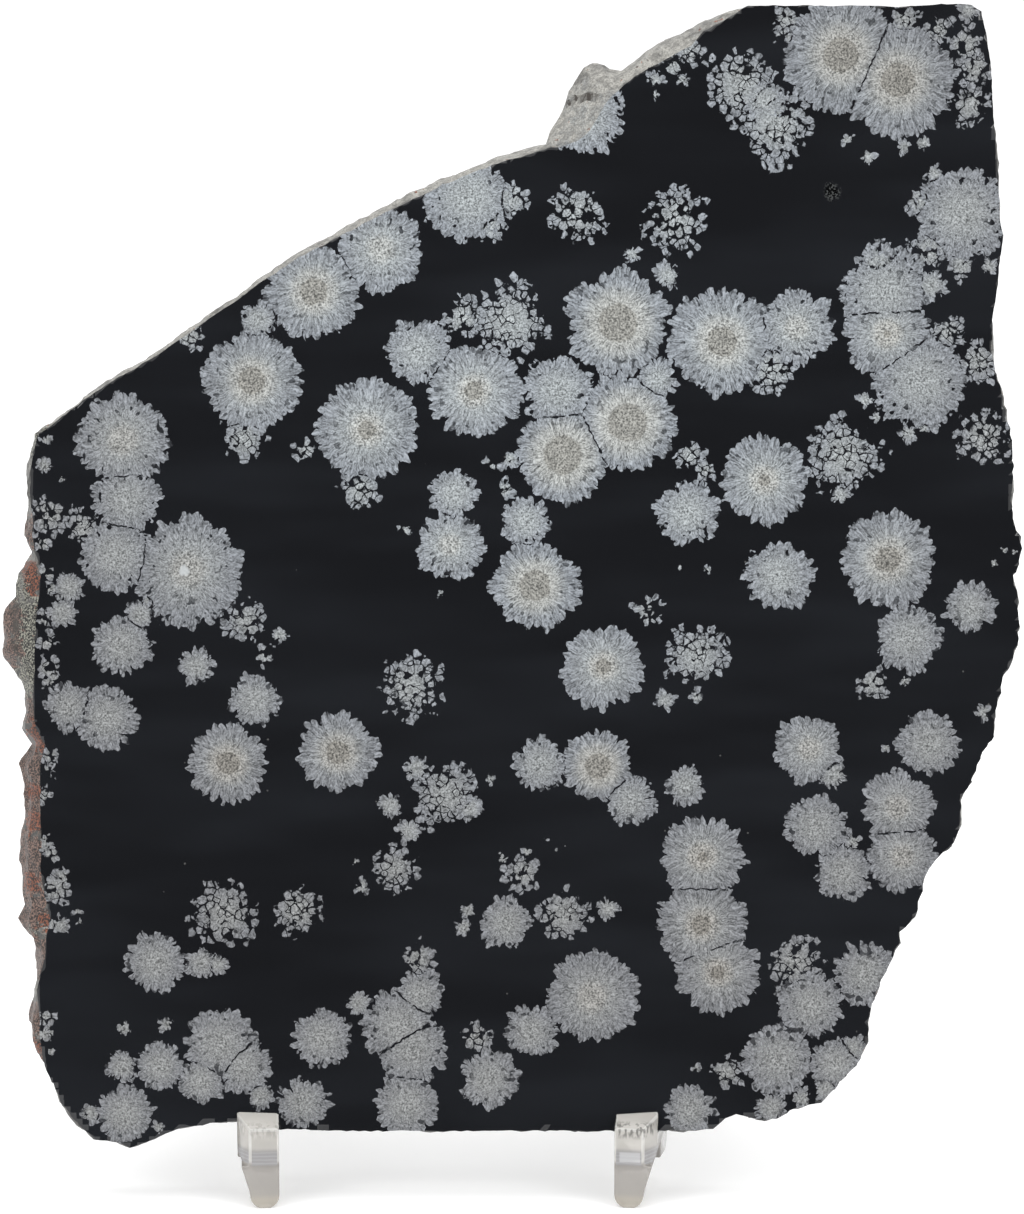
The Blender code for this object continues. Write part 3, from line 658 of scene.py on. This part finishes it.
def snowflaked_glass(n, group, place):
    """The glass with its snowflakes: its colour, and how much snowflakes cover it."""
    wobble = {"Vector": place, "Scale": 1.0 / GRAIN, "Detail": 1.0, "Roughness": 0.5}
    wobble = n.add("ShaderNodeTexNoise", wobble).outputs["Color"]
    wobble = n.vector("SUBTRACT", wobble, (0.5, 0.5, 0.5))
    bent = n.vector("ADD", place, n.vector("SCALE", wobble, scale=0.75 * GRAIN))
    fleck = n.noise(place, 1.0 / FIBRE, 1.0)
    pit = n.ramp(n.noise(place, 0.9 / GRAIN, 1.0), 0.64, 0.68)
    flakes = []
    for letter in "ab":
        given = {"Place": bent, "Fleck": fleck, "Pit": pit}
        for socket, name, kind in (("Centre", "centre_", "Vector"), ("Look", "look_", "Vector"),
                                   ("Cream", "cream_", "Fac")):
            stored = n.add("ShaderNodeAttribute", attribute_name=name + letter)
            given[socket] = stored.outputs[kind]
        flakes.append(n.add("ShaderNodeGroup", given, node_tree=group).outputs)

    # Of two snowflakes at a point, the nearer one shows, and a thin dark seam parts them
    first, second = flakes
    pick = n.times(n.maths("LESS_THAN", second["Out"], first["Out"]),
                   n.maths("GREATER_THAN", second["Cover"], 0.5))
    pick = n.maths("MAXIMUM", pick, n.maths("LESS_THAN", first["Cover"], 0.3))
    tint = n.mix(pick, first["Colour"], second["Colour"])
    apart = n.maths("ABSOLUTE", n.minus(first["Out"], second["Out"]))
    seam = n.times(first["Cover"], second["Cover"], n.ramp(apart, *SEAM, 1.0, 0.0))
    seam = n.times(seam, n.ramp(n.noise(place, 0.8 / GRAIN, 1.0), 0.38, 0.46))
    cover = n.times(n.maths("MAXIMUM", first["Cover"], second["Cover"]), n.minus(1.0, seam))

    # Painted light: the snowflakes are lightest round one place and darker away from it, a painted pool of
    # light
    from_painted_light = n.vector("DISTANCE", place, tuple(lean_back(*PAINTED_LIGHT_CENTRE, 0.0)), out="Value")
    painted_light_falloff = n.mix(n.ramp(from_painted_light, 0.02, 0.1), (1.04, 1.04, 1.04, 1.0), (0.76, 0.72, 0.7, 1.0))
    tint = n.vector("MULTIPLY", tint, painted_light_falloff)
    from_dot = n.vector("DISTANCE", bent, tuple(lean_back(*WHITE_DOT, 0.0)), out="Value")
    tint = n.mix(n.ramp(from_dot, 0.45 * MM, 0.95 * MM, 0.8, 0.0), tint, matte(208, 213, 215))
    return n.mix(cover, black_glass(n, place, bent, fleck), tint), cover


def broken_surface(n, place, face, cover):
    """The broken sides' colour and relief: stone under pale dust, the rind's crusts, and painted shade in
    the grooves.
    """
    zones = n.parts(n.add("ShaderNodeAttribute", attribute_name="rind").outputs["Vector"])
    upward = n.parts(n.add("ShaderNodeNewGeometry").outputs["Normal"])[2]
    broad = n.noise(place, BLOTCHES, 4.0, 0.6)
    patchy = n.noise(place, PATCHES, 2.0, 0.6)
    speck = n.noise(place, SPECKS, 2.0)
    dust = n.mix(n.ramp(patchy, 0.35, 0.65), matte(146, 144, 138), matte(184, 182, 175))
    dusty = n.plus(n.plus(n.times(upward, 0.22), n.times(cover, 0.08)),
                   n.plus(n.times(broad, 0.75), n.times(patchy, 0.25)))
    surface = n.mix(n.ramp(dusty, 0.42, 0.78, 0.2, 0.95), n.mix(0.3, face, matte(70, 69, 68)), dust)

    # Grey crust, then brown, then rust, each in light and dark specks
    rust, brown, grey = zones
    for zone, light, dark in ((grey, matte(158, 157, 144), matte(34, 34, 30)),
                              (brown, matte(136, 110, 99), matte(58, 44, 38)),
                              (rust, matte(146, 84, 58), matte(52, 34, 28))):
        where = n.ramp(n.plus(zone, n.times(n.minus(patchy, 0.5), 2.2)), 0.35, 0.6)
        surface = n.mix(where, surface, n.mix(n.ramp(speck, 0.46, 0.54), dark, light))
    crust = n.maths("MAXIMUM", grey, n.times(n.maths("MAXIMUM", rust, brown), 0.6))
    darkest = n.ramp(crust, 0.1, 0.7, 0.6, 0.1)
    lightest = n.ramp(crust, 0.1, 0.7, 1.3, 1.15)
    surface = n.vector("SCALE", surface, scale=n.ramp(speck, 0.3, 0.7, darkest, lightest, smooth=False))
    # Painted shade: the grooves darkened
    dark_joint_and_crease_shade = n.add("ShaderNodeAttribute", attribute_name="dark_joint_and_crease_shade").outputs["Fac"]
    dark_joint_and_crease_shade = n.times(dark_joint_and_crease_shade, n.ramp(patchy, 0.35, 0.5, 0.5, 1.0))
    surface = n.mix(dark_joint_and_crease_shade, surface, matte(62, 56, 50))
    return surface, n.plus(patchy, n.times(speck, 0.4))


def obsidian(name, group, is_broken):
    """Black glass with its snowflakes: polished on the flat faces, rough and dusty at the sides."""
    finish, n, shader = new_finish(name)
    place = n.add("ShaderNodeTexCoord").outputs["Object"]
    tint, cover = snowflaked_glass(n, group, place)
    polish = n.ramp(cover, 0.0, 1.0, 0.07, 0.3, smooth=False)
    if is_broken:
        tint, height = broken_surface(n, place, tint, cover)
        polish = n.plus(polish, 0.4)
        relief = n.add("ShaderNodeBump", {"Height": height, "Distance": 0.35 * MM, "Strength": 0.8})
        n.feed(shader, {"Normal": relief.outputs[0]})
    n.feed(shader, {"Base Color": tint, "Roughness": polish})
    return finish


def clear_plastic(name, painted_lip_light, painted_light_from, painted_reflection_share):
    """Moulded clear plastic, a little cloudy; its lips are painted lighter than its legs, as painted light.
    Above the height painted_light_from its front is as light as painted_lip_light, and
    painted_reflection_share is how much its band of painted reflection and its painted highlight patch
    show."""
    finish, n, shader = new_finish(name)
    place = n.add("ShaderNodeTexCoord").outputs["Object"]
    cloud = n.noise(place, CLOUDS, 3.0)
    x, y, z = n.parts(place)
    front = n.ramp(y, LIP_BACK, LIP_BACK - 0.001)
    tint = n.mix(cloud, colour(171, 167, 162), colour(183, 179, 174))
    # Painted light: the front is painted lighter above the given height, the lips' painted light
    painted_lit_lip = n.times(n.ramp(z, painted_light_from, painted_light_from + 0.001), front)
    tint = n.mix(painted_lit_lip, tint, n.mix(cloud, colour(*painted_lip_light), colour(226, 223, 217)))

    flow = n.noise(n.vector("MULTIPLY", place, FLOW), 1.0, 2.0, 0.6)
    streaks = n.times(n.ramp(flow, 0.46, 0.6), n.ramp(x, -0.01, 0.01, 0.35, 0.85), front)
    streaks = n.times(streaks, n.ramp(z, STREAKS[0], STREAKS[0] + 0.001),
                      n.ramp(z, STREAKS[1], STREAKS[1] - 0.0007))
    tint = n.mix(streaks, tint, colour(120, 118, 114))

    # Painted reflection: a rippled pale band across the front of each leg
    painted_band = n.times(n.ramp(z, PAINTED_BAND[0], PAINTED_BAND[0] + 0.0002), n.ramp(z, PAINTED_BAND[1], PAINTED_BAND[1] - 0.0012), front)
    ripple = n.maths("SINE", n.times(n.plus(z, n.times(cloud, 0.0006)), math.tau / RIPPLE))
    painted_reflection = n.mix(n.ramp(ripple, 0.0, 1.0), colour(183, 182, 185), colour(199, 199, 202))
    tint = n.mix(n.times(painted_band, painted_reflection_share), tint, painted_reflection)
    # Painted highlight: a white patch on the front of the right leg
    across, _, above = n.parts(n.vector("ABSOLUTE", n.vector("SUBTRACT", place, PAINTED_HIGHLIGHT_PATCH)))
    painted_highlight = n.times(n.ramp(across, 0.0014, 0.0017, 0.8, 0.0), n.ramp(above, 0.0006, 0.0009, 1.0, 0.0))
    tint = n.mix(n.times(painted_highlight, painted_reflection_share, front), tint, colour(240, 241, 243))
    tint = n.mix(n.ramp(z, WARM_TIP, 0.5 * WARM_TIP, 0.0, 0.5), tint, colour(206, 198, 182))
    n.feed(shader, {"Base Color": tint, "Roughness": n.ramp(cloud, 0.3, 0.7, 0.05, 0.12),
                    "IOR": PLASTIC_IOR, "Transmission Weight": CLEARNESS})
    return finish


def make_slab(matrix):
    """The stone's finished skin, on the CAD slab's own shape."""
    piece = copy_of_node("slab", "slab_stone")
    piece.data.transform(matrix.inverted())
    dissolve_flat_faces()
    cut_into_cells(piece)
    mesh = bmesh.new()
    mesh.from_mesh(piece.data)
    at_edge = [any(abs(face.normal.y) < 0.98 for face in vertex.link_faces) for vertex in mesh.verts]
    mesh.free()
    roughen_sides(piece, at_edge)
    piece.data.materials.clear()
    group = snowflake_group()
    piece.data.materials.append(obsidian("polished_obsidian", group, False))
    piece.data.materials.append(obsidian("broken_obsidian", group, True))
    mark_faces(piece, snowflakes(), matrix)
    piece.data.transform(matrix)
    only(piece)
    bpy.ops.object.shade_smooth_by_angle(angle=STONE_SHARP)
    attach(piece, "root")
    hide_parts("slab")


def dress_stand():
    """The clear stand keeps the CAD shape, its edges rounded as a moulding's are; its lips and its
    roundings are painted lighter, as painted light and painted highlights.
    """
    body = clear_plastic("clear_moulded_plastic", (204, 201, 195), LIP_FOOT, 0.8)
    # The roundings' material: near white from the band up, a painted highlight along every rounded edge
    edge = clear_plastic("clear_moulded_painted_edge_highlight", (244, 243, 240), PAINTED_BAND[0], 0.0)
    for node in ("stand_arm_left", "stand_arm_right", "stand_crossbar"):
        piece = copy_of_node(node, node.replace("stand", "clear"))
        piece.data.materials.clear()
        piece.data.materials.append(body)
        piece.data.materials.append(edge)
        dissolve_flat_faces(SHORTEST_EDGE)
        rounding = piece.modifiers.new("rounding", "BEVEL")
        rounding.width = EDGE_ROUND
        rounding.segments = 3
        rounding.limit_method = "ANGLE"
        rounding.miter_outer = "MITER_ARC"
        rounding.angle_limit = STAND_SHARP
        rounding.use_clamp_overlap = node == "stand_crossbar"
        rounding.material = 1
        bpy.ops.object.modifier_apply(modifier="rounding")
        bpy.ops.object.shade_smooth_by_angle(angle=STAND_SHARP)
        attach(piece, "root")
        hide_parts(node)


def make_stage():
    """A wide pale floor, lit from below too, and a black flag behind the camera that only
    reflections see."""
    bpy.ops.object.select_all(action="DESELECT")
    bpy.ops.mesh.primitive_plane_add(size=FLOOR_SIZE, location=(0.0, 0.0, 0.0))
    floor = bpy.context.object
    floor.name = "floor"
    finish, n, shader = new_finish("pale_floor")
    n.feed(shader, {"Base Color": (0.75, 0.75, 0.75, 1.0), "Roughness": 0.9,
                    "Emission Color": (1.0, 1.0, 1.0, 1.0), "Emission Strength": FLOOR_GLOW})
    floor.data.materials.append(finish)

    bpy.ops.mesh.primitive_plane_add(size=FLAG_SIZE, location=lean_back(0.0, 0.0, -1.5 * CAMERA_DISTANCE),
                                     rotation=(math.pi / 2 - LEAN, 0.0, 0.0))
    flag = bpy.context.object
    flag.name = "black_flag"
    finish, n, shader = new_finish("black_cloth")
    n.feed(shader, {"Base Color": (0.004, 0.004, 0.004, 1.0), "Roughness": 1.0})
    flag.data.materials.append(finish)
    flag.visible_camera = False
    flag.visible_diffuse = False
    flag.visible_shadow = False
    flag.visible_transmission = False


def add_light(name, place, size, power):
    """A square soft box, in metres and watts, turned to the object."""
    lamp = bpy.data.lights.new(name, "AREA")
    lamp.shape = "SQUARE"
    lamp.size = size
    lamp.energy = power
    holder = bpy.data.objects.new(name, lamp)
    bpy.context.scene.collection.objects.link(holder)
    holder.location = place
    holder.rotation_euler = (Vector(LIT_POINT) - Vector(place)).to_track_quat("-Z", "Y").to_euler()


def light_and_camera(matrix):
    """Soft studio light from above and both sides, and the photograph's camera."""
    scene = bpy.context.scene
    scene.view_settings.view_transform = "Standard"
    world = bpy.data.worlds.new("studio")
    scene.world = world
    world.use_nodes = True
    world.node_tree.nodes["Background"].inputs["Color"].default_value = (*[WORLD_LIGHT] * 3, 1.0)
    for soft_box in SOFT_BOXES:
        add_light(*soft_box)
    camera = bpy.data.cameras.new("photo_camera")
    camera.sensor_width = SENSOR
    camera.lens = SENSOR * CAMERA_DISTANCE / (PHOTO_SIZE[1] * MM_A_PIXEL)
    camera.clip_start = 0.01
    holder = bpy.data.objects.new("photo_camera", camera)
    scene.collection.objects.link(holder)
    right, inward, up = (matrix.to_3x3() @ Vector(axis) for axis in ((1, 0, 0), (0, 1, 0), (0, 0, 1)))
    turn = Matrix((right.normalized(), up.normalized(), -inward.normalized())).transposed()
    holder.matrix_world = Matrix.Translation(lean_back(0.0, 0.0, -CAMERA_DISTANCE)) @ turn.to_4x4()
    scene.camera = holder


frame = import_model()
slab_place = slab_matrix()
make_slab(slab_place)
dress_stand()
make_stage()
light_and_camera(slab_place)
